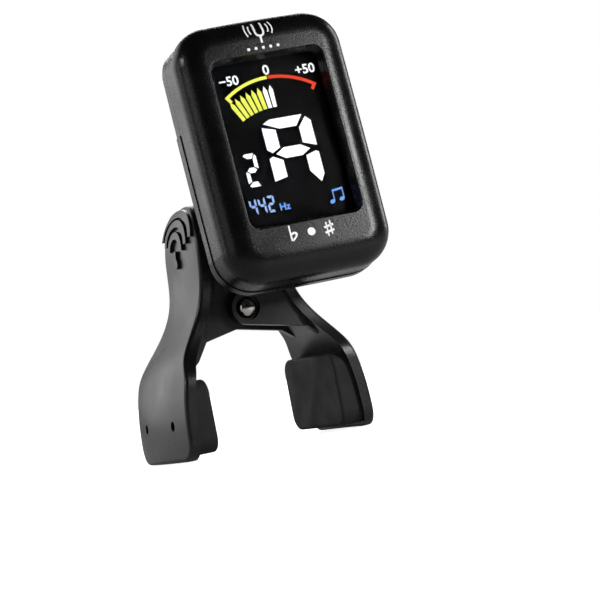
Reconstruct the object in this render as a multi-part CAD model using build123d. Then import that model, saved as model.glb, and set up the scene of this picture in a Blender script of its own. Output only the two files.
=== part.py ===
from build123d import *
import math
import os

os.makedirs("parts", exist_ok=True)

# Clip-on instrument tuner. Millimetres. The clip is drawn round its hinge pin:
# X is the closing direction of the jaws, Y runs along the pin, Z goes up the levers.
# Everything is saved shifted so that the origin is on the right-hand pad's face.
PAD_X = 10.25
PAD_Z = -15.5
TO_ROW = Pos(-PAD_X, 0, -PAD_Z)

# Clip
PLATE = 1.7
THUMB_HALF = 8.2
WAIST_HALF = 7.5
JAW_HALF = 11.9
ARM_TOP = 17.3
JAW_END = -21.4
EAR_IN = 4.9
EAR_OUT = 6.7
INNER_EAR_IN = 3.1
INNER_EAR_OUT = 4.6
EAR_R = 2.6
PIN_R = 1.0
RUN = 0.05
DOME_R = 1.65
RECESS_R = 1.95
RECESS_FLOOR = 6.0
CROWN_X = 80.0
CROWN_REACH = 12.5
EDGE_ROUND = 0.6
RIDGE_Y = 0.5
RIDGE_WIDE = 1.05
RIDGE_HIGH = 0.5
RIDGES = ((7.1, 4.4, 12.4), (5.2, 3.9, 11.5), (3.3, 3.0, 10.6))
STUD_Y = 6.4
STUD_Z = -15.7

# Head, in its own axes: x across, y up the screen, z out of the screen
LEAN = 10.0
HEAD_C = (5.58, -22.7, 24.2)
HALF_W = 13.55
TOP = 19.6
BOTTOM = -21.2
CORNER = 5.8
FRONT_ROUND = 4.0
SEAM = -7.7
BACK = -10.7
INNER_BACK = -9.8
SPLIT = 4.7
CAV_W = 12.2
CAV_TOP = 18.4
CAV_BOTTOM = -19.7
CAV_R = 5.8
LIP_W = 18.4
LIP_H = 26.7
LIP_R = 1.7
BEVEL = 0.55
LIP_ROUND = 0.2
WINDOW_Z = -1.7
BALL_Y = -10.0
BALL_Z = -10.6
BALL_R = 2.8
CELL_Y = 7.0
CELL_R = 10.0
BOSS_FACE = -9.6


def head_location():
    """Place of the head: its screen leans back from the clip's upright."""
    tilt = math.radians(LEAN)
    out = (0, -math.cos(tilt), math.sin(tilt))
    return Plane(origin=HEAD_C, x_dir=(1, 0, 0), z_dir=out).location


HEAD = head_location()


def save(name, *solids, place=Location()):
    """Write one piece, or a group of equal pieces, in the row's frame."""
    moved = [(TO_ROW * place * s) for s in solids]
    shape = moved[0] if len(moved) == 1 else Compound(children=moved)
    export_step(shape, f"parts/{name}.step")


def block(x0, x1, y0, y1, z0, z1):
    size = Box(abs(x1 - x0), abs(y1 - y0), abs(z1 - z0))
    return Pos((x0 + x1) / 2, (y0 + y1) / 2, (z0 + z1) / 2) * size


def rod(r, x, y, z0, z1):
    """Round bar along z."""
    return Pos(x, y, (z0 + z1) / 2) * Cylinder(r, abs(z1 - z0))


def rod_y(r, x, z, y0, y1):
    """Round bar along y."""
    return Pos(x, (y0 + y1) / 2, z) * Rot(90, 0, 0) * Cylinder(r, abs(y1 - y0))


def rod_x(r, y, z, x0, x1):
    """Round bar along x."""
    return Pos((x0 + x1) / 2, y, z) * Rot(0, 90, 0) * Cylinder(r, abs(x1 - x0))


def rounded(x0, x1, y0, y1, r, z0, z1):
    """Slab with rounded upright corners between two heights."""
    face = RectangleRounded(x1 - x0, y1 - y0, r)
    low, high = min(z0, z1), max(z0, z1)
    return Pos((x0 + x1) / 2, (y0 + y1) / 2, low) * extrude(face, high - low)


def profile_y(points, y0, y1):
    """Closed outline of (x, z) points made into a plate between two y values."""
    wire = Polyline(*[(x, 0, z) for x, z in points], close=True)
    face = Face(Wire(wire.edges()))
    solid = extrude(face, y1 - y0, dir=(0, 1, 0))
    return Pos(0, y0, 0) * solid


# ------------------------------------------------------------------ clip
def arm_curve(offset):
    """Outer line of the right lever, moved inwards by the offset."""
    knots = [(4.4, ARM_TOP + 0.4), (7.15, 10.2), (8.3, 2.0), (11.2, -3.2), (14.0, -7.4)]
    knots += [(15.15, -11.0), (15.7, -14.6), (16.0, JAW_END)]
    line = Spline(*[(x, 0, z) for x, z in knots])
    if offset == 0:
        return line
    count = 16
    inner = []
    for i in range(count + 1):
        t = i / count
        p = line.position_at(t)
        d = line.tangent_at(t)
        inner.append((p.X + d.Z * offset, 0, p.Z - d.X * offset))
    return Spline(*inner)


def swept_across(edges):
    """Side view swept round a distant upright axis, so that it bulges slightly across its width."""
    face = Face(Wire([e.edge() for e in edges]))
    swing = math.degrees(CROWN_REACH / CROWN_X)
    body = revolve(face, Axis((-CROWN_X, 0, 0), (0, 0, 1)), 2 * swing)
    return Pos(-CROWN_X, 0, 0) * Rot(0, 0, -swing) * Pos(CROWN_X, 0, 0) * body


def plate_blank(shift=0.0):
    """Curved lever plate, wider than the jaw."""
    outer = arm_curve(0)
    inner = arm_curve(PLATE)
    edges = [Line(outer @ 0, inner @ 0), outer, Line(outer @ 1, inner @ 1), inner]
    return Pos(shift, 0, 0) * swept_across(edges)


def width_line(side):
    """Side edge of the lever in front view, from the thumb end down to the jaw."""
    points = [(THUMB_HALF, 9.0), (WAIST_HALF, 1.0), (8.0, -3.5), (9.7, -6.4), (JAW_HALF, -10.6)]
    return Spline(*[(side * y, z) for y, z in points], tangents=((0, -1), (0, -1)))


def plate_outline():
    """Front view of the lever: rounded thumb end, narrow waist, flared jaw."""
    near, far = width_line(1), width_line(-1)
    top = Line(near @ 0, far @ 0)
    base = Line(near @ 1, far @ 1)
    outline = make_face([near.edge(), far.edge(), top.edge(), base.edge()])
    cap = Pos(0, 9.0) * Ellipse(THUMB_HALF, ARM_TOP - 9.0)
    outline += cap & (Pos(0, 19) * Rectangle(40, 20))
    tall = -10.6 - JAW_END
    jaw = Pos(0, JAW_END + (tall + 8) / 2) * RectangleRounded(2 * JAW_HALF, tall + 8, 3)
    outline += jaw & (Pos(0, -30.6) * Rectangle(40, 40))
    stood = Plane(origin=(0, 0, 0), x_dir=(0, 1, 0), z_dir=(1, 0, 0)).location * outline
    return extrude(stood, 20, dir=(1, 0, 0))


def grip_ridges():
    """Raised nested arches and a drop on the thumb end, standing on the plate's outer skin."""
    skin = plate_blank(RIDGE_HIGH)
    bars = []
    for half, high, foot in RIDGES:
        ring = Ellipse(half, high) - Ellipse(half - RIDGE_WIDE, high - RIDGE_WIDE)
        ring = Pos(RIDGE_Y, foot) * (ring & (Pos(0, 10) * Rectangle(40, 20)))
        bars.append(upright(ring))
    drop = Pos(RIDGE_Y, 8.7) * Circle(0.85) + Pos(RIDGE_Y, 9.7) * Rectangle(0.8, 1.8)
    ridges = (bars[0] + bars[1] + bars[2] + upright(drop)) & skin
    return ridges & plate_outline() & block(3, 12, -10, 10, 4, 20)


def upright(sketch):
    """Sketch of (y, z) made into a bar along x through the lever."""
    stood = Plane(origin=(0, 0, 0), x_dir=(0, 1, 0), z_dir=(1, 0, 0)).location * sketch
    return extrude(stood, 14, dir=(1, 0, 0))


def lever_plate():
    """Plate cut to its outline, its outer edge softened."""
    plate = plate_blank() & plate_outline()
    skins = plate.faces().sort_by(SortBy.AREA)[-2:]
    outer = skins.sort_by(Axis.X)[-1]
    return fillet(outer.edges(), EDGE_ROUND)


def flange(points, y0, y1):
    """One side wall of the channel, trimmed to the inside of the lever's curve."""
    wall = profile_y(points, y0, y1)
    return wall & (under_curve())


def under_curve():
    """Everything on the pin's side of the lever's outer skin."""
    outer = arm_curve(0)
    high, low = (-30, 0, ARM_TOP + 0.4), (-30, 0, JAW_END)
    edges = [Line(high, outer @ 0), outer, Line(low, outer @ 1), Line(high, low)]
    return swept_across(edges)


LOW_WEB = [(0.45, 2.56), (7.6, 1.7), (9.4, 1.7), (12.5, -4.6), (9.0, -4.5), (-0.45, -2.56)]
TALL_WEB = [(0.3, 2.58), (1.5, 7.6), (2.4, 8.8), (6.2, 9.6), (9.0, 8.0), (9.4, 1.7),
            (12.5, -4.6), (9.0, -4.5), (-0.45, -2.56)]


def ear(y0, y1, web):
    """Hinge ear running from the pin to the lever plate."""
    return rod_y(EAR_R, 0, 0, y0, y1) + flange(web, y0, y1)


DEEP_WALL = [(2.0, ARM_TOP - 4.0), (3.6, 11.0), (4.9, 3.0), (5.1, 1.9), (7.0, -3.0),
             (9.5, -6.8), (11.0, -8.1), (14.0, -8.6), (9.0, 1.0), (9.0, 12.0)]
SHALLOW_WALL = [(2.6, ARM_TOP - 4.0), (4.4, 11.0), (6.0, 3.0), (6.2, 1.0), (9.0, -4.5),
                (12.3, -7.0), (14.0, -7.4), (9.0, 1.0), (9.0, 12.0)]


def side_wall(y0, y1, strip):
    """Stiffening wall under the plate's edge, tapering out above the jaw."""
    return flange(strip, y0, y1)


def pair(maker, lo, hi, *args):
    """The same wall on both sides of the middle plane."""
    return maker(lo, hi, *args) + maker(-hi, -lo, *args)


def stud_holes(arm):
    for y in (-STUD_Y, STUD_Y):
        arm -= rod_x(0.75, y, STUD_Z, 10, 18)
    return arm


def make_right_arm():
    arm = lever_plate() + grip_ridges()
    arm += pair(ear, EAR_IN, EAR_OUT, LOW_WEB)
    arm += pair(side_wall, EAR_IN, EAR_OUT, SHALLOW_WALL)
    arm += swivel_boss()
    arm -= rod_y(PIN_R, 0, 0, -8, 8)
    arm -= rod_y(RECESS_R, 0, 0, -8, -RECESS_FLOOR)
    return stud_holes(arm - swivel_boss_cuts())


def make_left_arm():
    arm = lever_plate() + grip_ridges()
    arm += pair(ear, INNER_EAR_IN, INNER_EAR_OUT, TALL_WEB)
    arm += pair(side_wall, EAR_IN, EAR_OUT, DEEP_WALL)
    arm -= rod_y(PIN_R + RUN, 0, 0, -8, 8)
    return mirror(stud_holes(arm), about=Plane.YZ)


def ball_centre():
    p = HEAD * Pos(0, BALL_Y, BALL_Z)
    return p.position


def swivel_boss():
    """Round lug on the lever's edge that takes the swivel's stem."""
    c = ball_centre()
    lug = rod_y(3.3, c.X, c.Z, BOSS_FACE, -4.9)
    foot = block(c.X - 2.6, c.X, -6.7, -4.9, c.Z - 3.3, c.Z + 3.3)
    return fillet(lug.faces().sort_by(Axis.Y)[0].edges(), 0.4) + foot


STEM_R = 1.5
STEM_END = -5.8
GROOVE_Y = -7.6


def swivel_boss_cuts():
    c = ball_centre()
    bore = rod_y(STEM_R + RUN, c.X, c.Z, BOSS_FACE - 1, STEM_END + 0.1)
    return bore + rod_x(0.5, GROOVE_Y, c.Z, c.X, c.X + 6)


def make_ball_stud():
    """Ball, neck and grooved stem in one piece."""
    c = ball_centre()
    ball = Pos(c.X, c.Y, c.Z) * Sphere(BALL_R)
    neck = rod_y(1.25, c.X, c.Z, c.Y, BOSS_FACE)
    collar = rod_y(1.9, c.X, c.Z, BOSS_FACE - 0.45, BOSS_FACE - 0.05)
    stem = rod_y(STEM_R, c.X, c.Z, BOSS_FACE - 0.05, STEM_END)
    groove = rod_y(2, c.X, c.Z, GROOVE_Y - 0.6, GROOVE_Y + 0.6)
    groove -= rod_y(0.95, c.X, c.Z, GROOVE_Y - 0.6, GROOVE_Y + 0.6)
    return ball + neck + collar + (stem - groove)


def make_stud_screw():
    """Grub screw whose tip runs in the stem's groove and keeps it in the boss."""
    c = ball_centre()
    screw = rod_x(0.5, GROOVE_Y, c.Z, c.X + 1.05, c.X + 3.2)
    return screw - block(c.X + 2.8, c.X + 3.3, GROOVE_Y - 0.12, GROOVE_Y + 0.12, c.Z - 0.6, c.Z + 0.6)


def make_hinge_pin():
    """Pin with a domed head lying in the near ear's recess."""
    shank = rod_y(PIN_R, 0, 0, -RECESS_FLOOR, 7.3)
    shank = chamfer(shank.faces().sort_by(Axis.Y)[-1].edges(), 0.2)
    cap_r = (DOME_R ** 2 + 1.4 ** 2) / 2.8
    ball = Pos(0, -RECESS_FLOOR - 1.4 + cap_r, 0) * Sphere(cap_r)
    dome = ball & block(-3, 3, -RECESS_FLOOR - 3, -RECESS_FLOOR, -3, 3)
    return shank + dome


def make_pin_retainer():
    washer = rod_y(2.3, 0, 0, EAR_OUT, EAR_OUT + 0.35)
    crown = rod_y(1.5, 0, 0, EAR_OUT + 0.35, EAR_OUT + 0.5)
    return washer + crown - rod_y(PIN_R, 0, 0, 5, 9)


SPRING_R = 1.75
WIRE_R = 0.33


def leg(p, q):
    """Straight wire between two points with a round end."""
    path = Line(p, q)
    spot = Plane(origin=p, z_dir=(path % 0))
    return sweep(spot * Circle(WIRE_R), path=path) + Pos(*q) * Sphere(WIRE_R) + Pos(*p) * Sphere(WIRE_R)


def make_spring():
    """Torsion spring: a coil round the pin and two legs against the levers."""
    turns = 4.5
    height = 3.8
    coil = Helix(pitch=height / turns, height=height, radius=SPRING_R)
    start = Plane(origin=coil @ 0, z_dir=coil % 0)
    wire = sweep(start * Circle(WIRE_R), path=coil, is_frenet=True)
    wire = Rot(-90, 0, 0) * Pos(0, 0, -height / 2) * wire
    ends = [((SPRING_R, -height / 2 + 0.02, -0.2), (4.85, -height / 2, 9.0)),
            ((-SPRING_R, height / 2 - 0.02, -0.2), (-4.85, height / 2, 9.0))]
    for p, q in ends:
        wire = wire.fuse(leg(p, q))
    return wire


def pad_body():
    """Rubber pad: flat gripping face, back shaped to the jaw, two studs."""
    slab = block(PAD_X, 15.9, -JAW_HALF + 0.7, JAW_HALF - 0.7, JAW_END + 0.7, -9.4)
    slab = fillet(slab.edges().filter_by(Axis.X), 2.4)
    for shift in (0, 1.2, 2.4):
        slab -= plate_blank(shift)
    slab = slab.solids().sort_by(Axis.X)[0]
    slab = fillet(slab.faces().sort_by(Axis.X)[0].edges(), 0.5)
    for y in (-STUD_Y, STUD_Y):
        slab += rod_x(0.75, y, STUD_Z, PAD_X + 1.5, 15.0)
    return slab


# ------------------------------------------------------------------ head
def head_outline(grow):
    """Rounded rectangle with very slightly bowed sides."""
    w, t, b = HALF_W + grow, TOP + grow, BOTTOM - grow
    nw, ne, se, sw = (-w, t - 0.35), (w, t - 0.35), (w, b + 0.25), (-w, b + 0.25)
    mid = (t + b) / 2
    sides = [ThreePointArc(nw, (0, t), ne), ThreePointArc(ne, (w + 0.12, mid), se)]
    sides += [ThreePointArc(se, (0, b), sw), ThreePointArc(sw, (-w - 0.12, mid), nw)]
    face = make_face([s.edge() for s in sides])
    return fillet(face.vertices(), CORNER + grow)


def head_block(z0, z1, grow=0.0):
    return Pos(0, 0, z0) * extrude(head_outline(grow), z1 - z0)


def window_recess():
    """Sloping wall of the window's recess."""
    outer = Pos(0, 0, 0.01) * RectangleRounded(LIP_W, LIP_H, LIP_R)
    inner = Pos(0, 0, WINDOW_Z) * RectangleRounded(LIP_W - 2 * BEVEL, LIP_H - 2 * BEVEL, LIP_R - BEVEL)
    return loft([outer, inner])


SCREWS_LOW = [(-9.6, -16.9), (9.6, -16.9)]
SCREWS_HIGH = [(-8.8, 16.5), (8.8, 16.5)]
LOW_HEAD_Z = -9.6
HIGH_HEAD_Z = -8.3
SHANK_R = 0.45
HEAD_R = 1.0
POST_R = 1.1
BUTTONS_Y = (4.0, -6.0)
BUTTON_Z = -4.9
BUTTON_LONG = 6.0
BUTTON_HIGH = 1.8


def inside_lip(edge):
    """True for an edge of the window's rim, not of the face's outer round."""
    p = edge.center()
    return abs(p.X) < LIP_W / 2 + 0.1 and abs(p.Y) < LIP_H / 2 + 0.1


def make_front_shell():
    shell = head_block(SEAM, 0)
    shell = fillet(shell.faces().sort_by(Axis.Z)[-1].edges(), FRONT_ROUND)
    shell -= rounded(-CAV_W, CAV_W, CAV_BOTTOM, CAV_TOP, CAV_R, SEAM - 1, -2.7)
    shell -= window_recess()
    rim = [e for e in shell.edges().filter_by_position(Axis.Z, -0.02, 0.02) if inside_lip(e)]
    shell = fillet(rim, LIP_ROUND)
    shell -= rounded(-9.45, 9.45, -13.6, 13.6, 1.9, WINDOW_Z, -3)
    for x, y in SCREWS_LOW + SCREWS_HIGH:
        shell += rod(POST_R, x, y, SEAM, -2.6)
        shell -= rod(SHANK_R, x, y, SEAM - 1, -3.6)
    for x in (-11.2, 11.2):
        for y in (-11.0, 12.6):
            shell += block(x - 0.35, x + 0.35, y - 0.8, y + 0.8, -4.4, -2.6)
    for y in BUTTONS_Y:
        half = BUTTON_LONG / 2 + 0.1
        high = BUTTON_HIGH / 2 + 0.1
        shell -= block(12, 16, y - half, y + half, BUTTON_Z - high, BUTTON_Z + high)
    return shell


def door_region(gap, z0, z1):
    """Space the battery door takes: all above the split, and round the cell."""
    upper = block(-20, 20, SPLIT + gap, 30, z0, z1)
    return upper + rod(CELL_R + 0.55 - gap, 0, CELL_Y, z0, z1)


def rear_blank(grow):
    body = head_block(BACK, SEAM - 0.08, grow)
    body = fillet(body.faces().sort_by(Axis.Z)[0].edges(), 1.4)
    return body - rounded(-CAV_W, CAV_W, CAV_BOTTOM, CAV_TOP, CAV_R, INNER_BACK, 0)


TAB_X = (10.4, 11.9)
FRAME_BACK = -9.0
FRAME_FRONT = -7.8
TUBE_R = 6.0
TURRET_R = 5.0
LINER_R = 4.0
LINER_FLANGE_R = 4.6
SEAT_R = 5.0
TURRET_END = -12.4
LINER_LOW = -11.8
SEAT_Z = -8.6


def cell_frame():
    """Inner wall round the cell, below the door and its tabs."""
    frame = rounded(-12.0, 12.0, -4.4, 18.2, 5.6, FRAME_BACK, FRAME_FRONT)
    frame += block(-12.8, 12.8, -4.4, SPLIT - 0.1, FRAME_BACK, FRAME_FRONT)
    frame -= rod(CELL_R + 0.2, 0, CELL_Y, -10, -7)
    return frame - block(-2.6, 2.6, -3.9, 0, -10, -7)


def make_rear_shell():
    shell = rear_blank(0.15) - door_region(-0.1, -12, 0)
    shell += cell_frame()
    shell += rod(TUBE_R, 0, BALL_Y, -10.2, -7.2)
    turret = rod(TURRET_R, 0, BALL_Y, TURRET_END, -10.2)
    shell += fillet(turret.faces().sort_by(Axis.Z)[0].edges(), 0.5)
    shell -= rod(SEAT_R, 0, BALL_Y, SEAT_Z, -5)
    shell -= rod(LINER_R + RUN, 0, BALL_Y, LINER_LOW - 0.1, -5)
    shell -= rod(3.3, 0, BALL_Y, -13, -11)
    for x, y in SCREWS_LOW:
        shell += rod(1.5, x, y, -10.0, SEAM - 0.08)
        shell -= rod(SHANK_R + 0.08, x, y, -13, -5)
        shell -= rod(HEAD_R + 0.12, x, y, -13, LOW_HEAD_Z)
    for x, y in SCREWS_HIGH:
        shell -= rod(SHANK_R + 0.08, x, y, -13, -5)
        shell -= rod(HEAD_R + 0.12, x, y, -13, HIGH_HEAD_Z)
    for x in (-11.0, 11.0):
        shell += block(x - 0.5, x + 0.5, -3.6, -2.2, -7.9, -5.2)
        shell += block(x - 0.5, x + 0.5, 11.6, 13.0, -7.9, -5.2)
    return shell


def make_battery_door():
    door = rear_blank(0.0) & door_region(0.05, -12, 0)
    for s in (-1, 1):
        a, b = s * TAB_X[0], s * TAB_X[1]
        door += block(a, b, SPLIT - 1.4, SPLIT + 1.5, -9.72, -9.12)
        door += block(a, b, SPLIT + 0.2, SPLIT + 1.5, -9.9, -9.12)
    for i in range(4):
        y = 14.2 + 1.1 * i
        door -= block(-4, 4, y - 0.2, y + 0.2, -11, BACK + 0.25)
    return door


def make_lens():
    return rounded(-9.35, 9.35, -13.5, 13.5, 1.85, -2.6, WINDOW_Z)


def make_lcd_panel():
    front = block(-9.8, 9.8, -13.2, 14.4, -3.2, -2.75)
    return front + block(-9.8, 9.8, -14.4, 14.4, -3.7, -3.2)


def make_backlight():
    """Light guide behind the display glass."""
    return block(-9.7, 9.7, -12.4, 14.3, -4.3, -3.72)


def make_lcd_holder():
    frame = rounded(-10.6, 10.6, -15.3, 15.3, 0.8, -4.38, -2.78)
    frame -= block(-9.85, 9.85, -14.5, 14.5, -5, -2)
    for x in (-9.9, 9.9):
        for y in (-14.7, 14.7):
            frame += rod(0.45, x, y, -4.9, -4.3)
    return frame


def make_connector():
    return block(-8.8, 8.8, -14.2, -12.8, -4.4, -3.72)


def make_board():
    board = rounded(-11.6, 11.6, -15.9, 15.6, 1.0, -5.2, -4.4)
    for x in (-9.9, 9.9):
        for y in (-14.7, 14.7):
            board -= rod(0.5, x, y, -6, -4)
    for x, y in SCREWS_LOW + SCREWS_HIGH:
        board -= rod(1.4, x, y, -6, -4)
    return board


def make_chip():
    """Controller: flat package with two rows of legs."""
    body = block(-3, 3, -15.3, -12.5, -6.05, -5.3)
    for i in range(7):
        x = -2.55 + 0.85 * i
        body += block(x - 0.17, x + 0.17, -15.6, -12.2, -5.45, -5.2)
    return body


def make_switch(y):
    body = block(10.2, 11.3, y - 1.7, y + 1.7, -6.2, -5.2)
    return body + block(11.2, 11.6, y - 0.8, y + 0.8, -5.95, -5.35)


def make_button(y):
    """Side button: rounded cap through the wall and a flange inside it."""
    half = BUTTON_LONG / 2
    high = BUTTON_HIGH / 2
    cap = block(12.0, 13.95, y - half, y + half, BUTTON_Z - high, BUTTON_Z + high)
    cap = fillet(cap.edges().filter_by(Axis.X), 0.7)
    cap = fillet(cap.faces().sort_by(Axis.X)[-1].edges(), 0.35)
    flange_in = block(11.95, 12.15, y - half - 0.5, y + half + 0.5, BUTTON_Z - high - 0.2, -3.0)
    return cap + flange_in


def make_cell():
    can = rod(CELL_R, 0, CELL_Y, -9.5, -6.55)
    can = fillet(can.faces().sort_by(Axis.Z)[0].edges(), 0.4)
    return can + rod(9.0, 0, CELL_Y, -6.6, -6.3)


def make_contact_negative():
    """Leaf on the board under the cell's small face."""
    leaf = block(-3, 3, 5.5, 8.5, -5.32, -5.2)
    return leaf + block(-0.8, 0.8, 6.2, 7.8, -6.29, -5.3)


def make_contact_positive():
    """Upright spring tab against the cell's rim, with a foot on the board."""
    tab = block(-2, 2, -3.5, -3.25, -9.0, -5.2)
    foot = block(-2, 2, -4.4, -3.4, -5.4, -5.2)
    return tab + foot + block(-0.7, 0.7, -3.3, -3.05, -8.4, -7.6)


def make_piezo():
    """Brass strip with a ceramic layer on the rear wall."""
    return block(-5, 5, -19.4, -16.3, -9.8, -9.6) + block(-4.2, 4.2, -19.0, -16.7, -9.6, -9.35)


def make_liner():
    """Cup that grips the ball and turns in the rear shell."""
    cup = rod(LINER_R, 0, BALL_Y, LINER_LOW, -8.0)
    cup += rod(LINER_FLANGE_R, 0, BALL_Y, SEAT_Z + 0.05, -8.0)
    cup += rod(2.6, 0, BALL_Y, -8.1, -7.35)
    cup -= Pos(0, BALL_Y, BALL_Z) * Sphere(BALL_R + RUN)
    for turn in (0, 90):
        slot = block(-5, 5, -0.25, 0.25, LINER_LOW - 1, -10.3)
        cup -= Pos(0, BALL_Y, 0) * Rot(0, 0, turn + 45) * slot
    return cup


def make_retainer():
    return rod(SEAT_R, 0, BALL_Y, -7.95, -7.3) - rod(2.8, 0, BALL_Y, -9, -7)


def make_screw(x, y, head_z, tip_z):
    """Case screw: pan head with a cross slot, shank along z."""
    head = rod(HEAD_R, x, y, head_z - 0.6, head_z)
    head = fillet(head.faces().sort_by(Axis.Z)[0].edges(), 0.25)
    for a, b in ((0.65, 0.13), (0.13, 0.65)):
        head -= block(x - a, x + a, y - b, y + b, head_z - 1, head_z - 0.3)
    return head + rod(SHANK_R, x, y, head_z, tip_z)


def build_clip():
    save("right_arm", make_right_arm())
    save("left_arm", make_left_arm())
    save("hinge_pin", make_hinge_pin())
    save("pin_retainer", make_pin_retainer())
    save("torsion_spring", make_spring())
    save("right_pad", pad_body())
    save("left_pad", mirror(pad_body(), about=Plane.YZ))
    save("ball_stud", make_ball_stud())
    save("stud_screw", make_stud_screw())


def build_head():
    pieces = {"front_shell": make_front_shell(), "rear_shell": make_rear_shell()}
    pieces["battery_door"] = make_battery_door()
    pieces["lens_window"] = make_lens()
    pieces["lcd_panel"] = make_lcd_panel()
    pieces["lcd_backlight"] = make_backlight()
    pieces["lcd_holder"] = make_lcd_holder()
    pieces["lcd_connector"] = make_connector()
    pieces["circuit_board"] = make_board()
    pieces["controller_chip"] = make_chip()
    pieces["power_button"] = make_button(BUTTONS_Y[0])
    pieces["mode_button"] = make_button(BUTTONS_Y[1])
    pieces["coin_cell"] = make_cell()
    pieces["battery_contact_negative"] = make_contact_negative()
    pieces["battery_contact_positive"] = make_contact_positive()
    pieces["piezo_pickup"] = make_piezo()
    pieces["socket_liner"] = make_liner()
    pieces["socket_retainer"] = make_retainer()
    for name, solid in pieces.items():
        save(name, solid, place=HEAD)
    save("tact_switches", *[make_switch(y) for y in BUTTONS_Y], place=HEAD)
    low = [make_screw(x, y, LOW_HEAD_Z, -4.8) for x, y in SCREWS_LOW]
    high = [make_screw(x, y, HIGH_HEAD_Z, -4.4) for x, y in SCREWS_HIGH]
    save("case_screws", *low, *high, place=HEAD)


build_clip()
build_head()
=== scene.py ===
"""Clip-on instrument tuner: materials, display graphics, prints, stage, lights and camera."""
import math

import bmesh
import bpy
from mathutils import Matrix, Vector
from mathutils.bvhtree import BVHTree


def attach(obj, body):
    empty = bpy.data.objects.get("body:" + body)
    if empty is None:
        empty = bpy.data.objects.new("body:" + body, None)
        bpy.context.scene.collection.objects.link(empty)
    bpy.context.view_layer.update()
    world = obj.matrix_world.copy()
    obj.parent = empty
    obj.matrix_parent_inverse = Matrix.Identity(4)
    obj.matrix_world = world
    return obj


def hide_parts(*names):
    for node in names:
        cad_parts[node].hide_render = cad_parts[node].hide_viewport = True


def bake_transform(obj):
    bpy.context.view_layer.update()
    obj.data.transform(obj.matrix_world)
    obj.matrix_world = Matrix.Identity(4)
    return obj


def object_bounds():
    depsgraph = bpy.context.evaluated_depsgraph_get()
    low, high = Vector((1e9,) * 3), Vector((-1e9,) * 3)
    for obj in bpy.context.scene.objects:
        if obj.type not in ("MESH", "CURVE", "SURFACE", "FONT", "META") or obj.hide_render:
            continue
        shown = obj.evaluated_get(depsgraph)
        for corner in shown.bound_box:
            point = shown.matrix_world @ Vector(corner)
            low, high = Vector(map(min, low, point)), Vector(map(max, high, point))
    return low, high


MM = 0.001
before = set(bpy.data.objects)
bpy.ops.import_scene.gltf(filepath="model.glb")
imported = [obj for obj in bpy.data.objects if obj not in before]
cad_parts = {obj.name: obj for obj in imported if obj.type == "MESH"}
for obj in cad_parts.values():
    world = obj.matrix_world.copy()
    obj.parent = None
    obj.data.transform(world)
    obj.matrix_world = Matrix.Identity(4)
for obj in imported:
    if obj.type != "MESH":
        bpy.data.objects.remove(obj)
cad_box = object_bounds()
scene = bpy.context.scene

# ---------------------------------------------------------------- places
# Hinge axis and head axes in the row's frame, in millimetres, as in the CAD.
PIVOT = Vector((-10.25, 0.0, 15.5))
LEAN = math.radians(10.0)
HEAD_ORIGIN = PIVOT + Vector((5.58, -22.7, 24.2))
HEAD_X = Vector((1, 0, 0))
HEAD_Y = Vector((0, math.sin(LEAN), math.cos(LEAN)))
HEAD_N = Vector((0, -math.cos(LEAN), math.sin(LEAN)))


def head_point(x, y, z):
    """Head coordinates in millimetres to the row's frame in metres."""
    return (HEAD_ORIGIN + HEAD_X * x + HEAD_Y * y + HEAD_N * z) * MM


# ---------------------------------------------------------------- camera
CAM_RIGHT = Vector((0.9195, -0.3433, -0.1917))
CAM_BACK = Vector((-0.3500, -0.9369, -0.0017))
CAM_DISTANCE = 600.0
VIEW_WIDTH = 92.3
RIVET = PIVOT + Vector((0, -7.4, 0))
AIM_RIGHT = 7.77
AIM_UP = 1.08


def make_camera():
    """Long-lens camera aimed from the hinge's rivet, level set by its right and back axes."""
    back = CAM_BACK.normalized()
    right = (CAM_RIGHT - back * CAM_RIGHT.dot(back)).normalized()
    up = back.cross(right)
    aim = RIVET + right * AIM_RIGHT + up * AIM_UP
    data = bpy.data.cameras.new("camera")
    cam = bpy.data.objects.new("camera", data)
    scene.collection.objects.link(cam)
    place = (aim + back * CAM_DISTANCE) * MM
    turn = Matrix((right, up, back)).transposed().to_4x4()
    cam.matrix_world = Matrix.Translation(place) @ turn
    data.sensor_width = 36.0
    data.lens = data.sensor_width * CAM_DISTANCE / VIEW_WIDTH
    data.clip_start = 0.01
    data.clip_end = 20.0
    scene.camera = cam


# ---------------------------------------------------------------- materials
def material(name, color, roughness, metallic=0.0, specular=0.5):
    """Principled material; returns it with its tree and shader."""
    mat = bpy.data.materials.new(name)
    mat.use_nodes = True
    shader = mat.node_tree.nodes["Principled BSDF"]
    shader.inputs["Base Color"].default_value = (*color, 1)
    shader.inputs["Roughness"].default_value = roughness
    shader.inputs["Metallic"].default_value = metallic
    shader.inputs["Specular IOR Level"].default_value = specular
    return mat, mat.node_tree, shader


def noise(tree, scale, detail=4.0, stretch=(1, 1, 1)):
    """Noise over the object's own coordinates; scale is in features per metre."""
    coords = tree.nodes.new("ShaderNodeTexCoord")
    mapping = tree.nodes.new("ShaderNodeMapping")
    mapping.inputs["Scale"].default_value = stretch
    texture = tree.nodes.new("ShaderNodeTexNoise")
    texture.inputs["Scale"].default_value = scale
    texture.inputs["Detail"].default_value = detail
    tree.links.new(coords.outputs["Object"], mapping.inputs["Vector"])
    tree.links.new(mapping.outputs["Vector"], texture.inputs["Vector"])
    return texture.outputs["Fac"]


def remap(tree, value, low, high, start=0.3, end=0.7):
    """Stretches a noise value to a range."""
    node = tree.nodes.new("ShaderNodeMapRange")
    node.inputs["From Min"].default_value = start
    node.inputs["From Max"].default_value = end
    node.inputs["To Min"].default_value = low
    node.inputs["To Max"].default_value = high
    tree.links.new(value, node.inputs["Value"])
    return node.outputs["Result"]


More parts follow.
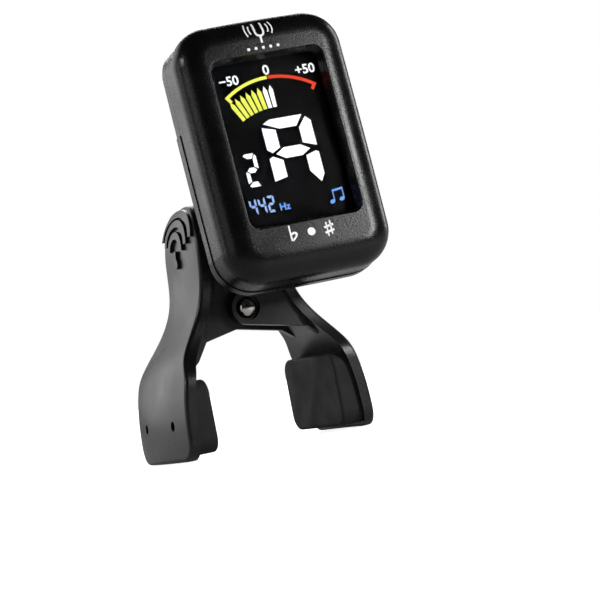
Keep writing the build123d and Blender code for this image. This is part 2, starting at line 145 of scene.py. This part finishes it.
def tint(tree, value, dark, light, socket):
    """Colour between two shades, driven by a noise value."""
    ramp = tree.nodes.new("ShaderNodeValToRGB")
    ramp.color_ramp.elements[0].position = 0.35
    ramp.color_ramp.elements[0].color = (*dark, 1)
    ramp.color_ramp.elements[1].position = 0.68
    ramp.color_ramp.elements[1].color = (*light, 1)
    tree.links.new(value, ramp.inputs["Fac"])
    tree.links.new(ramp.outputs["Color"], socket)


def bump(tree, shader, layers):
    """Adds bump layers of (height value, strength, distance in metres)."""
    normal = None
    for value, strength, distance in layers:
        node = tree.nodes.new("ShaderNodeBump")
        node.inputs["Strength"].default_value = strength
        node.inputs["Distance"].default_value = distance
        tree.links.new(value, node.inputs["Height"])
        if normal is not None:
            tree.links.new(normal, node.inputs["Normal"])
        normal = node.outputs["Normal"]
    tree.links.new(normal, shader.inputs["Normal"])


def grained_plastic(name, color, rough, grain=5200.0, depth=0.35, wear=0.25, specular=0.5):
    """Spark-textured moulding: fine grain, cloudy gloss and a few rubbed patches."""
    mat, tree, shader = material(name, color, rough, specular=specular)
    fine = noise(tree, grain, 2.0)
    cloud = noise(tree, 160.0, 5.0)
    light = tuple(c * (1 + wear) for c in color)
    dark = tuple(c * (1 - wear) for c in color)
    tint(tree, cloud, dark, light, shader.inputs["Base Color"])
    mix = tree.nodes.new("ShaderNodeMath")
    mix.operation = "ADD"
    tree.links.new(remap(tree, cloud, rough - 0.05, rough + 0.05), mix.inputs[0])
    tree.links.new(remap(tree, fine, -0.05, 0.05), mix.inputs[1])
    tree.links.new(mix.outputs["Value"], shader.inputs["Roughness"])
    bump(tree, shader, [(cloud, 0.05, 0.0001), (fine, depth, 0.00003)])
    return mat


def rubber(name, color):
    """Soft matt rubber with a fine leathery skin."""
    mat, tree, shader = material(name, color, 0.78, specular=0.35)
    cells = tree.nodes.new("ShaderNodeTexVoronoi")
    cells.inputs["Scale"].default_value = 2600.0
    coords = tree.nodes.new("ShaderNodeTexCoord")
    tree.links.new(coords.outputs["Object"], cells.inputs["Vector"])
    cloud = noise(tree, 240.0, 6.0)
    tint(tree, cloud, color, tuple(c * 1.7 for c in color), shader.inputs["Base Color"])
    tree.links.new(remap(tree, cloud, 0.68, 0.88), shader.inputs["Roughness"])
    bump(tree, shader, [(cells.outputs["Distance"], 0.3, 0.00003), (noise(tree, 5000.0), 0.2, 0.00001)])
    return mat


def metal(name, color, rough, stretch=(1, 1, 1), scale=900.0, depth=0.08):
    """Bare or plated metal with drawing or turning marks."""
    mat, tree, shader = material(name, color, rough, metallic=1.0)
    marks = noise(tree, scale, 6.0, stretch)
    tint(tree, marks, tuple(c * 0.86 for c in color), color, shader.inputs["Base Color"])
    tree.links.new(remap(tree, marks, rough * 0.7, rough * 1.4), shader.inputs["Roughness"])
    bump(tree, shader, [(marks, depth, 0.00001)])
    return mat


def clear_lens():
    """Clear acrylic window with a faint haze of fine marks."""
    mat, tree, shader = material("lens_clear", (0.96, 0.97, 0.98), 0.03)
    shader.inputs["Transmission Weight"].default_value = 1.0
    shader.inputs["IOR"].default_value = 1.12
    marks = noise(tree, 500.0, 8.0, (1, 0.2, 3))
    tree.links.new(remap(tree, marks, 0.0, 0.02), shader.inputs["Roughness"])
    return mat


def dark_glass():
    """Unlit display: near black with a faint cloudiness."""
    mat, tree, shader = material("lcd_glass", (0.0008, 0.0008, 0.001), 0.5, specular=0.04)
    cloud = noise(tree, 300.0, 4.0)
    tint(tree, cloud, (0.0006, 0.0006, 0.0008), (0.0011, 0.0011, 0.0015), shader.inputs["Base Color"])
    tree.links.new(remap(tree, cloud, 0.45, 0.55), shader.inputs["Roughness"])
    return mat


def glow(name, color, strength):
    """Lit display segment: soft cell-sized unevenness over a steady glow."""
    mat, tree, shader = material(name, tuple(c * 0.5 for c in color), 0.6, specular=0.1)
    cloud = noise(tree, 900.0, 3.0)
    tint(tree, cloud, tuple(c * 0.93 for c in color), color, shader.inputs["Emission Color"])
    shader.inputs["Emission Strength"].default_value = strength
    return mat


def board_green():
    """Solder resist over copper tracks."""
    mat, tree, shader = material("board_green", (0.02, 0.16, 0.06), 0.35)
    coords = tree.nodes.new("ShaderNodeTexCoord")
    tracks = tree.nodes.new("ShaderNodeTexBrick")
    tracks.inputs["Scale"].default_value = 260.0
    tracks.inputs["Mortar Size"].default_value = 0.03
    tracks.inputs["Color1"].default_value = (0.012, 0.11, 0.04, 1)
    tracks.inputs["Color2"].default_value = (0.016, 0.14, 0.05, 1)
    tracks.inputs["Mortar"].default_value = (0.05, 0.3, 0.12, 1)
    tree.links.new(coords.outputs["Object"], tracks.inputs["Vector"])
    tree.links.new(tracks.outputs["Color"], shader.inputs["Base Color"])
    bump(tree, shader, [(tracks.outputs["Fac"], 0.3, 0.00004), (noise(tree, 3000.0), 0.1, 0.00001)])
    return mat


SHELL = (0.003, 0.003, 0.0032)
ARM = (0.006, 0.006, 0.0063)
BUTTON = (0.02, 0.02, 0.021)
STEEL = (0.55, 0.55, 0.56)
WHITE_LIT = (1.0, 1.0, 1.0)
YELLOW_LIT = (0.74, 0.76, 0.1)
RED_LIT = (0.58, 0.04, 0.012)
BLUE_LIT = (0.16, 0.36, 0.85)


def make_materials():
    """Every material by the short name that the tables below use."""
    mats = {"shell": grained_plastic("shell_black", SHELL, 0.26, 4200.0, 0.75, specular=0.24)}
    mats["arm"] = grained_plastic("arm_black", ARM, 0.33, 6500.0, 0.22, specular=0.38)
    mats["button"] = grained_plastic("button_black", BUTTON, 0.34, 7000.0, 0.2)
    mats["pin"] = metal("pin_steel", (0.5, 0.48, 0.45), 0.14, (1, 1, 1), 700.0, 0.05)
    mats["spring"] = metal("spring_steel", STEEL, 0.3, (1, 1, 4), 1500.0)
    mats["screw"] = metal("screw_steel", (0.2, 0.2, 0.21), 0.35)
    mats["pad"] = rubber("pad_rubber", (0.007, 0.007, 0.007))
    mats["ball"] = grained_plastic("ball_plastic", (0.014, 0.014, 0.015), 0.24, 3000.0, 0.06)
    mats["liner"] = grained_plastic("liner_plastic", (0.55, 0.54, 0.5), 0.45, 4000.0, 0.12, 0.06)
    mats["lens"] = clear_lens()
    mats["lcd"] = dark_glass()
    mats["guide"] = grained_plastic("light_guide", (0.75, 0.78, 0.75), 0.3, 3000.0, 0.1, 0.05)
    mats["holder"] = grained_plastic("holder_white", (0.6, 0.6, 0.57), 0.45, 4000.0, 0.12, 0.06)
    mats["connector"] = rubber("connector_rubber", (0.3, 0.16, 0.2))
    mats["board"] = board_green()
    mats["chip"] = grained_plastic("chip_black", (0.015, 0.015, 0.016), 0.55, 6000.0, 0.4)
    mats["switch"] = metal("switch_metal", (0.6, 0.6, 0.58), 0.3)
    mats["cell"] = metal("cell_steel", (0.66, 0.66, 0.67), 0.22, (1, 6, 1), 600.0)
    mats["contact"] = metal("contact_plate", (0.62, 0.58, 0.42), 0.25, (1, 6, 1), 800.0)
    mats["piezo"] = metal("piezo_brass", (0.7, 0.5, 0.2), 0.3)
    mats["print"] = grained_plastic("print_white", (0.86, 0.86, 0.86), 0.5, 5000.0, 0.1, 0.03)
    mats["white"] = glow("segment_white", WHITE_LIT, 1.0)
    mats["yellow"] = glow("segment_yellow", YELLOW_LIT, 1.0)
    mats["red"] = glow("segment_red", RED_LIT, 1.0)
    mats["blue"] = glow("segment_blue", BLUE_LIT, 0.8)
    mats["pale_blue"] = glow("segment_pale_blue", (0.34, 0.5, 0.85), 0.8)
    return mats


NODE_MATERIALS = {
    "shell": ["front_shell", "rear_shell", "battery_door"],
    "arm": ["right_arm", "left_arm"],
    "button": ["power_button", "mode_button"],
    "pin": ["hinge_pin"],
    "spring": ["pin_retainer", "torsion_spring"],
    "screw": ["stud_screw", "case_screws"],
    "pad": ["right_pad", "left_pad"],
    "ball": ["ball_stud"],
    "liner": ["socket_liner"],
    "lens": ["lens_window"],
    "lcd": ["lcd_panel"],
    "guide": ["lcd_backlight"],
    "holder": ["lcd_holder", "socket_retainer"],
    "connector": ["lcd_connector"],
    "board": ["circuit_board"],
    "chip": ["controller_chip"],
    "switch": ["tact_switches"],
    "cell": ["coin_cell"],
    "contact": ["battery_contact_positive", "battery_contact_negative"],
    "piezo": ["piezo_pickup"],
}


def dress_nodes(mats):
    """Gives every CAD node its material."""
    for key, names in NODE_MATERIALS.items():
        for name in names:
            for node in node_objects(name):
                node.data.materials.clear()
                node.data.materials.append(mats[key])


def node_objects(name):
    """The frame's objects for one CAD node, always as a list."""
    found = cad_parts[name]
    return found if isinstance(found, (list, tuple)) else [found]


# ---------------------------------------------------------------- flat pieces on the head
def prism(name, outlines, back, front, mat, face=None):
    """Closed thin pieces from head-plane outlines, between two depths or laid on a curved face."""
    bm = bmesh.new()
    for outline in outlines:
        low = [bm.verts.new(head_point(x, y, back)) for x, y in outline]
        high = [bm.verts.new(head_point(x, y, front)) for x, y in outline]
        bm.faces.new(low)
        bm.faces.new(high)
        count = len(outline)
        for i in range(count):
            j = (i + 1) % count
            bm.faces.new((low[i], low[j], high[j], high[i]))
    bmesh.ops.recalc_face_normals(bm, faces=bm.faces)
    if face is not None:
        bmesh.ops.triangulate(bm, faces=bm.faces)
        for vert in bm.verts:
            vert.co += HEAD_N * face_height(face, vert.co)
    mesh = bpy.data.meshes.new(name)
    bm.to_mesh(mesh)
    bm.free()
    piece = bpy.data.objects.new(name, mesh)
    scene.collection.objects.link(piece)
    piece.data.materials.append(mat)
    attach(piece, "head")
    return piece


PROBE = 3.0 * MM


def face_height(face, point):
    """How far the moulded face lies above the head's front plane at a point, in metres."""
    on_plane = point - HEAD_N * (point - HEAD_ORIGIN * MM).dot(HEAD_N)
    hit = face.ray_cast(on_plane + HEAD_N * PROBE, -HEAD_N)
    return PROBE - hit[3]


# The display's layer of lit segments lies just in front of the panel. The lens in front
# of it is seen at a slant, so marks are drawn this much right and up of where they show.
LIT_BACK = -2.74
LIT_FRONT = -2.68
SLANT = (0.89, 0.24)


def lit(name, outlines, mat):
    """Display graphics, given where they show on the window's rim plane."""
    moved = [[(x + SLANT[0], y + SLANT[1]) for x, y in line] for line in outlines]
    return prism(name, moved, LIT_BACK, LIT_FRONT, mat)


PRINT_BACK = -0.02
PRINT_FRONT = 0.02


def printed(name, outlines, mat):
    """White print on the front face."""
    shell = node_objects("front_shell")[0]
    face = BVHTree.FromObject(shell, bpy.context.evaluated_depsgraph_get())
    return prism(name, outlines, PRINT_BACK, PRINT_FRONT, mat, face)


def bar(x0, y0, x1, y1, width):
    """Rectangle between two points."""
    along = Vector((x1 - x0, y1 - y0)).normalized() * (width / 2)
    across = Vector((-along.y, along.x))
    corners = [(x0, y0, 1), (x1, y1, 1), (x1, y1, -1), (x0, y0, -1)]
    return [(x + s * across.x, y + s * across.y) for x, y, s in corners]


def disc(x, y, rx, ry, turn=0.0, count=28):
    """Filled ellipse."""
    points = []
    for i in range(count):
        a = 2 * math.pi * i / count
        u, v = rx * math.cos(a), ry * math.sin(a)
        across = u * math.cos(turn) - v * math.sin(turn)
        up = u * math.sin(turn) + v * math.cos(turn)
        points.append((x + across, y + up))
    return points


def arc_band(cx, cy, r0, r1, a0, a1, steps=24):
    """Part of a ring; angles in degrees from straight up, clockwise."""
    angles = [math.radians(a0 + (a1 - a0) * i / steps) for i in range(steps + 1)]
    outer = [(cx + r1 * math.sin(a), cy + r1 * math.cos(a)) for a in angles]
    inner = [(cx + r0 * math.sin(a), cy + r0 * math.cos(a)) for a in reversed(angles)]
    return outer + inner


# Segment shapes in a cell 8 wide and 11 high, for the mitred seven-segment characters.
CELL_WIDE = 8.0
CELL_HIGH = 11.0
SEGMENT = {
    "a": [(0.35, 10.45), (1.5, 11.0), (6.8, 11.0), (5.55, 9.35), (2.8, 9.35)],
    "b": [(7.25, 10.6), (8.0, 9.85), (8.0, 5.85), (5.9, 6.6), (5.9, 9.0)],
    "c": [(5.9, 4.5), (7.6, 5.0), (8.0, 4.75), (8.0, 1.25), (7.3, 0.1), (5.9, 2.05)],
    "d": [(0.35, 0.55), (1.5, 0.0), (6.8, 0.0), (5.55, 1.65), (2.8, 1.65)],
    "e": [(0.0, 4.9), (0.6, 5.2), (2.1, 4.4), (2.1, 1.75), (0.0, 1.3)],
    "f": [(0.0, 9.9), (2.1, 9.25), (2.1, 6.45), (0.75, 5.75), (0.0, 6.35)],
    "g": [(1.25, 5.5), (2.65, 6.35), (5.35, 6.35), (6.8, 5.5), (5.35, 4.65), (2.65, 4.65)],
}
CHARACTERS = {"A": "abcefg", "2": "abged", "4": "fgbc"}


def segment_character(char, x, y, wide, high):
    """Outlines of one character, its lower left corner at x, y."""
    sx, sy = wide / CELL_WIDE, high / CELL_HIGH
    return [[(x + u * sx, y + v * sy) for u, v in SEGMENT[s]] for s in CHARACTERS[char]]


def text_piece(name, body, x, y, size, mat, bold=0.03):
    """Plain dial figures, centred, turned into a closed mesh on the display layer."""
    curve = bpy.data.curves.new(name, "FONT")
    curve.body = body
    curve.size = size * MM
    curve.align_x = "CENTER"
    curve.align_y = "CENTER"
    curve.extrude = (LIT_FRONT - LIT_BACK) / 2 * MM
    curve.offset = bold * MM
    curve.resolution_u = 4
    turn = Matrix((HEAD_X, HEAD_Y, HEAD_N)).transposed().to_4x4()
    middle = head_point(x + SLANT[0], y + SLANT[1], (LIT_BACK + LIT_FRONT) / 2)
    piece = mesh_piece(name, curve, mat)
    piece.data.transform(Matrix.Translation(middle) @ turn)
    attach(piece, "head")
    return piece


def mesh_piece(name, curve, mat):
    """Piece with the closed mesh of a text or curve."""
    source = bpy.data.objects.new(name + "_source", curve)
    scene.collection.objects.link(source)
    bpy.context.view_layer.update()
    depsgraph = bpy.context.evaluated_depsgraph_get()
    mesh = bpy.data.meshes.new_from_object(source.evaluated_get(depsgraph))
    bpy.data.objects.remove(source)
    weld(mesh)
    mesh.name = name
    mesh.materials.clear()
    mesh.materials.append(mat)
    piece = bpy.data.objects.new(name, mesh)
    scene.collection.objects.link(piece)
    return piece


def weld(mesh):
    """Joins the points that two parts of a mesh share."""
    bm = bmesh.new()
    bm.from_mesh(mesh)
    bmesh.ops.remove_doubles(bm, verts=bm.verts, dist=1e-7)
    bmesh.ops.recalc_face_normals(bm, faces=bm.faces)
    bm.to_mesh(mesh)
    bm.free()


# ---------------------------------------------------------------- spring
# A wire coiled round the hinge pin, its two legs leaving the coil straight up to the levers.
COIL_R = 1.75
COIL_TURNS = 4.5
COIL_HALF = 1.9
WIRE_R = 0.33
LEG_END = (5.05, 9.2)
STEPS_PER_TURN = 28


def spring_line():
    """Middle line of the wire, from the fixed lever's leg to the moving lever's, round the pin."""
    reach = math.hypot(*LEG_END)
    first = math.acos(COIL_R / reach) - math.atan2(LEG_END[1], LEG_END[0])
    sweep = COIL_TURNS * 2 * math.pi - 2 * first
    count = round(COIL_TURNS * STEPS_PER_TURN)
    line = [Vector((LEG_END[0], -COIL_HALF, LEG_END[1]))]
    for i in range(count + 1):
        t = i / count
        angle = first + sweep * t
        y = COIL_HALF * (2 * t - 1)
        line.append(Vector((COIL_R * math.cos(angle), y, -COIL_R * math.sin(angle))))
    line.append(Vector((-LEG_END[0], COIL_HALF, LEG_END[1])))
    return [(PIVOT + p) * MM for p in line]


def make_spring(mat):
    """The torsion spring as one wire coiled round the pin, shown in place of the CAD spring."""
    curve = bpy.data.curves.new("spring_wire", "CURVE")
    curve.dimensions = "3D"
    curve.bevel_depth = WIRE_R * MM
    curve.bevel_resolution = 3
    curve.use_fill_caps = True
    line = spring_line()
    spline = curve.splines.new("POLY")
    spline.points.add(len(line) - 1)
    for point, place in zip(spline.points, line):
        point.co = (*place, 1)
    piece = mesh_piece("spring_wire", curve, mat)
    piece.data.shade_smooth()
    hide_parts("torsion_spring")
    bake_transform(piece)


# ---------------------------------------------------------------- display
SCALE_CENTRE = (-0.5, -2.85)
SCALE_R = 12.7
SCALE_END = 35.5
SCALE_HALF = 0.25
SCALE_GAP = 0.5
TICK = 0.95
TICK_WIDE = 2.4
FAN_CENTRE = (-0.47, -6.9)
FAN_IN = 12.0
FAN_SHOULDER = 14.7
FAN_TIP = 15.5
FAN_STEP = 3.8
FAN_FILL = 0.35
FAN_WHITE = 2
FAN_COUNT = 8


def fan_bar(index):
    """One pointed bar of the pitch fan; index 0 is the upright one."""
    middle = -FAN_STEP * index
    half = FAN_STEP * FAN_FILL
    shape = [(FAN_IN, -half), (FAN_SHOULDER, -half), (FAN_TIP, 0.0)]
    shape += [(FAN_SHOULDER, half), (FAN_IN, half)]
    points = []
    for r, a in shape:
        angle = math.radians(middle + a)
        points.append((FAN_CENTRE[0] + r * math.sin(angle), FAN_CENTRE[1] + r * math.cos(angle)))
    return points


def make_display(mats):
    """The lit state: scale, pitch fan, note, octave, reference pitch and mode sign."""
    cx, cy = SCALE_CENTRE
    for name, side, mat in (("scale_flat", -1, mats["yellow"]), ("scale_sharp", 1, mats["red"])):
        tick_start = side * (SCALE_END - TICK_WIDE)
        end = side * SCALE_END
        inner, outer = SCALE_R - SCALE_HALF, SCALE_R + SCALE_HALF
        line = arc_band(cx, cy, inner, outer, side * SCALE_GAP, end)
        tick = arc_band(cx, cy, SCALE_R - TICK, inner, tick_start, end, 3)
        lit(name, [line, tick], mat)
    lit("fan_yellow", [fan_bar(i) for i in range(FAN_WHITE, FAN_COUNT)], mats["yellow"])
    lit("fan_white", [fan_bar(i) for i in range(FAN_WHITE)], mats["white"])
    lit("note_letter", segment_character("A", -3.48, -7.6, 8.03, 10.9), mats["white"])
    lit("octave_number", segment_character("2", -7.7, -6.55, 2.15, 5.2), mats["white"])
    pitch = []
    for i, char in enumerate("442"):
        pitch += segment_character(char, -8.5 + 1.45 * i, -10.85, 1.15, 2.6)
    lit("pitch_number", pitch, mats["pale_blue"])
    text_piece("figure_minus_50", "\u221250", -6.75, 10.15, 2.05, mats["white"])
    text_piece("figure_0", "0", -0.45, 10.95, 2.15, mats["white"])
    text_piece("figure_plus_50", "+50", 5.75, 10.1, 2.05, mats["white"])
    text_piece("unit_hertz", "Hz", -3.0, -10.35, 1.5, mats["blue"])
    make_mode_sign(mats)


def make_mode_sign(mats):
    """Pair of joined quavers in place of the mode's name."""
    x, y = 4.7, -10.9
    shapes = [disc(x, y, 0.42, 0.3, 0.35), disc(x + 1.6, y + 0.2, 0.42, 0.3, 0.35)]
    shapes.append(bar(x + 0.36, y + 0.1, x + 0.36, y + 1.5, 0.14))
    shapes.append(bar(x + 1.96, y + 0.3, x + 1.96, y + 1.7, 0.14))
    shapes.append([(x + 0.29, y + 1.5), (x + 2.03, y + 1.7), (x + 2.03, y + 2.0), (x + 0.29, y + 1.8)])
    lit("mode_sign", shapes, mats["blue"])


# ---------------------------------------------------------------- prints
FORK_Y = 16.7
FORK_TOP = 18.3
FORK_FOOT = 14.9
FORK_R = 0.67
FORK_HALF = 0.16
PRONG_STEPS = 8
BOW_STEPS = 8
SOUND_Y = 17.2
SOUND_R = 1.55
SOUND_STEP = 0.65
SOUND_HALF = 0.11
DOT_COUNT = 5
DOT_STEP = 1.2
DOT_Y = 14.15
DOT_R = 0.24
SIGN_X = 2.9
SIGN_Y = -15.1
IN_TUNE_R = 0.62


def tuning_fork():
    """Outline of a tuning fork: two prongs, the bow between them and a stem."""
    heights = [FORK_TOP + (FORK_Y - FORK_TOP) * i / PRONG_STEPS for i in range(PRONG_STEPS)]
    outer, inner = FORK_R + FORK_HALF, FORK_R - FORK_HALF
    half = math.degrees(math.asin(FORK_HALF / outer))
    right = [(outer, y) for y in heights]
    bow = [math.radians(90 + (90 - half) * i / BOW_STEPS) for i in range(BOW_STEPS + 1)]
    right += [(outer * math.sin(a), FORK_Y + outer * math.cos(a)) for a in bow]
    right.append((FORK_HALF, FORK_FOOT))
    left = [(-x, y) for x, y in reversed(right)]
    turns = 2 * BOW_STEPS
    inside = [math.radians(270 - 180 * i / turns) for i in range(turns + 1)]
    hollow = [(-inner, y) for y in heights]
    hollow += [(inner * math.sin(a), FORK_Y + inner * math.cos(a)) for a in inside]
    hollow += [(inner, y) for y in reversed(heights)]
    return right + left + hollow


def make_prints(mats):
    """Fork with sound arcs and a row of dots above the window; flat, in-tune and sharp below."""
    fork = [tuning_fork()]
    for side in (-1, 1):
        for k in range(2):
            r = SOUND_R + SOUND_STEP * k
            low, high = r - SOUND_HALF, r + SOUND_HALF
            fork.append(arc_band(0, SOUND_Y, low, high, side * 62, side * 118, 12))
    printed("tuning_fork_print", fork, mats["print"])
    first_dot = -DOT_STEP * (DOT_COUNT - 1) / 2
    dots = [disc(first_dot + DOT_STEP * i, DOT_Y, DOT_R, DOT_R) for i in range(DOT_COUNT)]
    printed("dot_row_print", dots, mats["print"])
    printed("flat_sign_print", flat_sign(-SIGN_X, -15.9), mats["print"])
    printed("in_tune_print", [disc(0, SIGN_Y, IN_TUNE_R, IN_TUNE_R)], mats["print"])
    printed("sharp_sign_print", sharp_sign(SIGN_X, SIGN_Y), mats["print"])


def flat_sign(x, y):
    """Flat sign: stem and bowl."""
    stem = bar(x - 0.45, y - 0.1, x - 0.45, y + 2.3, 0.26)
    outer = [(-0.3, 1.05), (0.15, 1.25), (0.55, 1.1), (0.66, 0.8), (0.5, 0.4), (0.1, 0.05), (-0.3, -0.3)]
    inner = [(-0.3, 0.1), (0.05, 0.35), (0.28, 0.62), (0.3, 0.82), (0.15, 0.93), (-0.3, 0.72)]
    bowl = [(x + u, y + v) for u, v in outer + inner]
    return [stem, bowl]


def sharp_sign(x, y):
    """Sharp sign: two uprights crossed by two rising bars."""
    shapes = []
    for s in (-1, 1):
        shapes.append(bar(x + 0.32 * s, y - 1.1 + 0.1 * s, x + 0.32 * s, y + 1.1 + 0.1 * s, 0.2))
        shapes.append(bar(x - 0.75, y + 0.42 * s - 0.2, x + 0.75, y + 0.42 * s + 0.12, 0.34))
    return shapes


# ---------------------------------------------------------------- stage
FLOOR_HALF = 0.5
FLOOR_GLOW = 0.01
FLOOR_SEEN = 0.9


def camera_level(tree, others, seen):
    """Brightness of the seamless paper: full where it is seen directly, low as a light source."""
    path = tree.nodes.new("ShaderNodeLightPath")
    level = tree.nodes.new("ShaderNodeMapRange")
    level.inputs["To Min"].default_value = others
    level.inputs["To Max"].default_value = seen
    tree.links.new(path.outputs["Is Camera Ray"], level.inputs["Value"])
    return level.outputs["Result"]


def make_stage():
    """Plain white floor just under the object."""
    low = cad_box[0][2] - 0.0001
    mesh = bpy.data.meshes.new("floor")
    signs = ((-1, -1), (1, -1), (1, 1), (-1, 1))
    mesh.from_pydata([(x * FLOOR_HALF, y * FLOOR_HALF, low) for x, y in signs], [], [(0, 1, 2, 3)])
    floor = bpy.data.objects.new("floor", mesh)
    scene.collection.objects.link(floor)
    mat, tree, shader = material("floor_white", (0.7, 0.7, 0.7), 0.7)
    shader.inputs["Emission Color"].default_value = (1, 1, 1, 1)
    tree.links.new(camera_level(tree, FLOOR_GLOW, FLOOR_SEEN), shader.inputs["Emission Strength"])
    bump(tree, shader, [(noise(tree, 400.0), 0.02, 0.0002)])
    mesh.materials.append(mat)


LIGHT_AIM = Vector((-0.005, -0.01, 0.03))


def area_light(name, direction, distance, size, size_y, power):
    """Soft box shining at the object's middle from a direction; metres and watts."""
    toward = Vector(direction).normalized()
    data = bpy.data.lights.new(name, "AREA")
    data.shape = "RECTANGLE"
    data.size = size
    data.size_y = size_y
    data.energy = power
    lamp = bpy.data.objects.new(name, data)
    scene.collection.objects.link(lamp)
    lamp.location = LIGHT_AIM + toward * distance
    lamp.rotation_euler = toward.to_track_quat("Z", "Y").to_euler()


# Name, direction from the object's middle, distance, width, height and power.
SOFT_BOXES = (
    ("near_right_box", (0.73, -1.1, 0.36), 0.145, 0.03, 0.07, 0.2),
    ("left_front_strip", (-0.91, -0.32, 0.22), 0.6, 0.06, 0.3, 0.12),
    ("left_box", (-0.99, -0.07, 0.17), 0.6, 0.12, 0.4, 0.15),
    ("left_rear_box", (-0.9, 0.42, 0.1), 0.6, 0.12, 0.4, 0.35),
    ("corner_spot", (-0.95, 0.02, 0.5), 0.5, 0.04, 0.04, 0.5),
    ("rear_left_box", (-0.5, 0.86, 0.35), 0.55, 0.4, 0.4, 0.95),
    ("rear_box", (0.3, 0.9, 0.35), 0.55, 0.3, 0.3, 1.2),
    ("right_rear_box", (0.95, 0.35, 0.25), 0.5, 0.1, 0.3, 0.6),
)
AROUND = 0.015
AROUND_SEEN = 1.0


def make_lights():
    """Soft boxes, and surroundings that are white when seen but weak as a light source."""
    for box in SOFT_BOXES:
        area_light(*box)
    world = bpy.data.worlds.new("world")
    scene.world = world
    world.use_nodes = True
    tree = world.node_tree
    background = tree.nodes["Background"]
    background.inputs["Color"].default_value = (1, 1, 1, 1)
    tree.links.new(camera_level(tree, AROUND, AROUND_SEEN), background.inputs["Strength"])
    scene.view_settings.view_transform = "Standard"


make_camera()
materials = make_materials()
dress_nodes(materials)
make_display(materials)
make_prints(materials)
make_spring(materials["spring"])
make_stage()
make_lights()
